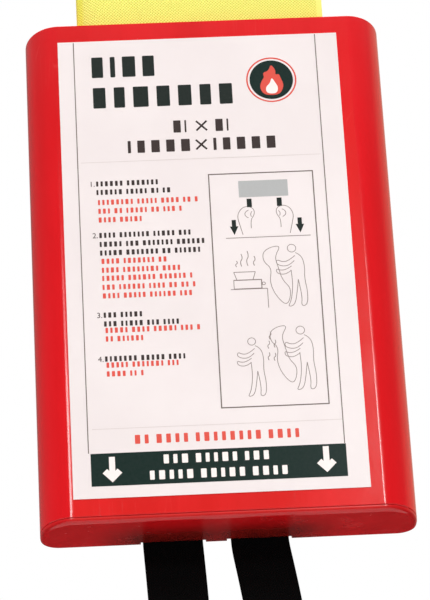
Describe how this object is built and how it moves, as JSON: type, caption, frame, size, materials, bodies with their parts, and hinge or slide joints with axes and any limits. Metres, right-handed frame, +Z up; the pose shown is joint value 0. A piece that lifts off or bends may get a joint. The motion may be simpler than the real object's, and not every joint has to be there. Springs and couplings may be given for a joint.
{
  "type": "fire blanket",
  "caption": "Folded fire blanket in a flat wall-mounted plastic case, with pull tapes hanging from its lower end.",
  "frame": {"origin": "centre of the back plate's wall face", "axes": "+Z up, +Y into the wall, the label faces -Y"},
  "size_m": [0.19, 0.0382, 0.4422],
  "materials": {
    "case_plastic": "gloss",
    "cap_plastic": "gloss",
    "screw_steel": "satin",
    "label_film": "satin",
    "blanket_cloth": "matte",
    "tape_webbing": "matte",
    "sewing_thread": "matte"
  },
  "bodies": {
    "case": {"front_shell": "case_plastic", "back_plate": "case_plastic", "top_cap": "case_plastic", "case_screws": "screw_steel", "label_sheet": "label_film"},
    "blanket": {"folded_blanket": "blanket_cloth", "left_pull_tape": "tape_webbing", "right_pull_tape": "tape_webbing", "left_tape_stitching": "sewing_thread", "right_tape_stitching": "sewing_thread"},
    "end_cap": {"bottom_cap": "cap_plastic"}
  },
  "joints": [
    {"name": "blanket_pull", "type": "slide", "parent": "case", "child": "blanket", "axis": [0, 0, -1], "range_m": [0, 0.32]},
    {"name": "end_cap_release", "type": "slide", "parent": "case", "child": "end_cap", "axis": [0, 0, -1], "range_m": [0, 0.32]}
  ],
  "couplings": [
    {"joint": "end_cap_release", "follows": "blanket_pull", "ratio": 1}
  ]
}
